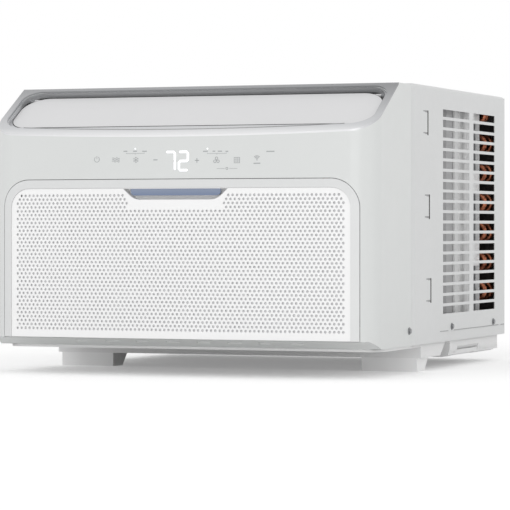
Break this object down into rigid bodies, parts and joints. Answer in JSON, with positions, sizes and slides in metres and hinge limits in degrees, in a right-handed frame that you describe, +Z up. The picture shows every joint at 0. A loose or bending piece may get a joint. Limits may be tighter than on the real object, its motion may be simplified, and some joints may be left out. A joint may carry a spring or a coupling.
{
  "type": "window air conditioner",
  "caption": "Window air conditioner: louvred steel cabinet, bowed front with swing-down perforated intake grille, sloping top outlet with hinged flap and vanes.",
  "frame": {"origin": "middle of the footprint, on the plane that the feet stand on", "axes": "+X to the right seen from the room side, -Y out of the front grille, +Z up"},
  "size_m": [0.4978, 0.5594, 0.35],
  "materials": {
    "cabinet_paint": "satin powder coat, fine orange peel",
    "screw_steel": "zinc plated",
    "pan_plastic": "moulded, fine grain",
    "foot_plastic": "moulded, fine grain",
    "bezel_plastic": "satin moulded",
    "trim_satin": "satin silver grey",
    "dark_plastic": "moulded",
    "duct_foam": "dense expanded foam",
    "galvanised": "galvanised sheet",
    "motor_steel": "plain steel",
    "shroud_plastic": "moulded",
    "fin_aluminium": "thin bright fins",
    "copper": "drawn copper tube",
    "black_enamel": "black enamel",
    "rubber": "moulded rubber",
    "board_green": "circuit board laminate",
    "grille_frame_plastic": "satin moulded",
    "grille_plastic": "moulded with fine round holes",
    "blue_lens": "smoked blue, glossy",
    "filter_plastic": "moulded",
    "filter_net": "fine woven net",
    "flap_plastic": "satin moulded",
    "vane_plastic": "moulded",
    "fan_plastic": "glass filled, moulded"
  },
  "bodies": {
    "chassis": {"cabinet_shell": "cabinet_paint", "cabinet_screws": "screw_steel", "base_pan": "pan_plastic", "foot_left": "foot_plastic", "foot_right": "foot_plastic", "front_bezel": "bezel_plastic", "outlet_trim": "trim_satin", "flap_motor": "dark_plastic", "outlet_duct": "duct_foam", "blower_housing": "duct_foam", "bulkhead": "galvanised", "fan_motor": "motor_steel", "motor_bracket": "galvanised", "fan_shroud": "shroud_plastic", "condenser_fins": "fin_aluminium", "condenser_end_plates": "galvanised", "condenser_bends": "copper", "evaporator_fins": "fin_aluminium", "evaporator_end_plates": "galvanised", "evaporator_bends": "copper", "drip_tray": "duct_foam", "compressor": "black_enamel", "compressor_grommets": "rubber", "compressor_bolts": "screw_steel", "accumulator": "black_enamel", "discharge_pipe": "copper", "suction_pipe": "copper", "capillary_tube": "copper", "control_box": "galvanised", "control_board": "board_green", "display_board": "board_green"},
    "grille": {"grille_frame": "grille_frame_plastic", "grille_panel": "grille_plastic", "status_lens": "blue_lens", "filter_frame": "filter_plastic", "filter_net": "filter_net"},
    "flap": {"outlet_flap": "flap_plastic"},
    "link": {"vane_link": "vane_plastic"},
    "rotor": {"blower_wheel": "dark_plastic", "motor_shaft": "motor_steel", "condenser_fan": "fan_plastic"},
    "vane_1": {"air_vane_1": "vane_plastic"},
    "vane_2": {"air_vane_2": "vane_plastic"},
    "vane_3": {"air_vane_3": "vane_plastic"},
    "vane_4": {"air_vane_4": "vane_plastic"},
    "vane_5": {"air_vane_5": "vane_plastic"},
    "vane_6": {"air_vane_6": "vane_plastic"},
    "vane_7": {"air_vane_7": "vane_plastic"},
    "vane_8": {"air_vane_8": "vane_plastic"}
  },
  "joints": [
    {"name": "grille_swing", "type": "hinge", "parent": "chassis", "child": "grille", "pos_m": [0, -0.26175, 0.05], "axis": [1, 0, 0], "range_deg": [0, 40]},
    {"name": "flap_swing", "type": "hinge", "parent": "chassis", "child": "flap", "pos_m": [0, -0.18568, 0.3325], "axis": [-1, 0, 0], "range_deg": [0, 60]},
    {"name": "vane_1_swing", "type": "hinge", "parent": "chassis", "child": "vane_1", "pos_m": [-0.14, -0.21605, 0.29689], "axis": [0, 0.8526, 0.5225], "range_deg": [-25, 25]},
    {"name": "vane_2_swing", "type": "hinge", "parent": "chassis", "child": "vane_2", "pos_m": [-0.1, -0.21605, 0.29689], "axis": [0, 0.8526, 0.5225], "range_deg": [-25, 25]},
    {"name": "vane_3_swing", "type": "hinge", "parent": "chassis", "child": "vane_3", "pos_m": [-0.06, -0.21605, 0.29689], "axis": [0, 0.8526, 0.5225], "range_deg": [-25, 25]},
    {"name": "vane_4_swing", "type": "hinge", "parent": "chassis", "child": "vane_4", "pos_m": [-0.02, -0.21605, 0.29689], "axis": [0, 0.8526, 0.5225], "range_deg": [-25, 25]},
    {"name": "vane_5_swing", "type": "hinge", "parent": "chassis", "child": "vane_5", "pos_m": [0.02, -0.21605, 0.29689], "axis": [0, 0.8526, 0.5225], "range_deg": [-25, 25]},
    {"name": "vane_6_swing", "type": "hinge", "parent": "chassis", "child": "vane_6", "pos_m": [0.06, -0.21605, 0.29689], "axis": [0, 0.8526, 0.5225], "range_deg": [-25, 25]},
    {"name": "vane_7_swing", "type": "hinge", "parent": "chassis", "child": "vane_7", "pos_m": [0.1, -0.21605, 0.29689], "axis": [0, 0.8526, 0.5225], "range_deg": [-25, 25]},
    {"name": "vane_8_swing", "type": "hinge", "parent": "chassis", "child": "vane_8", "pos_m": [0.14, -0.21605, 0.29689], "axis": [0, 0.8526, 0.5225], "range_deg": [-25, 25]},
    {"name": "link_slide", "type": "slide", "parent": "chassis", "child": "link", "axis": [1, 0, 0], "range_m": [-0.00567, 0.00567]},
    {"name": "rotor_spin", "type": "hinge", "parent": "chassis", "child": "rotor", "pos_m": [-0.03, 0.05, 0.17], "axis": [0, 1, 0], "continuous": true}
  ],
  "couplings": [
    {"joint": "vane_1_swing", "follows": "link_slide", "rad_per_m": -76.923},
    {"joint": "vane_2_swing", "follows": "link_slide", "rad_per_m": -76.923},
    {"joint": "vane_3_swing", "follows": "link_slide", "rad_per_m": -76.923},
    {"joint": "vane_4_swing", "follows": "link_slide", "rad_per_m": -76.923},
    {"joint": "vane_5_swing", "follows": "link_slide", "rad_per_m": -76.923},
    {"joint": "vane_6_swing", "follows": "link_slide", "rad_per_m": -76.923},
    {"joint": "vane_7_swing", "follows": "link_slide", "rad_per_m": -76.923},
    {"joint": "vane_8_swing", "follows": "link_slide", "rad_per_m": -76.923}
  ]
}
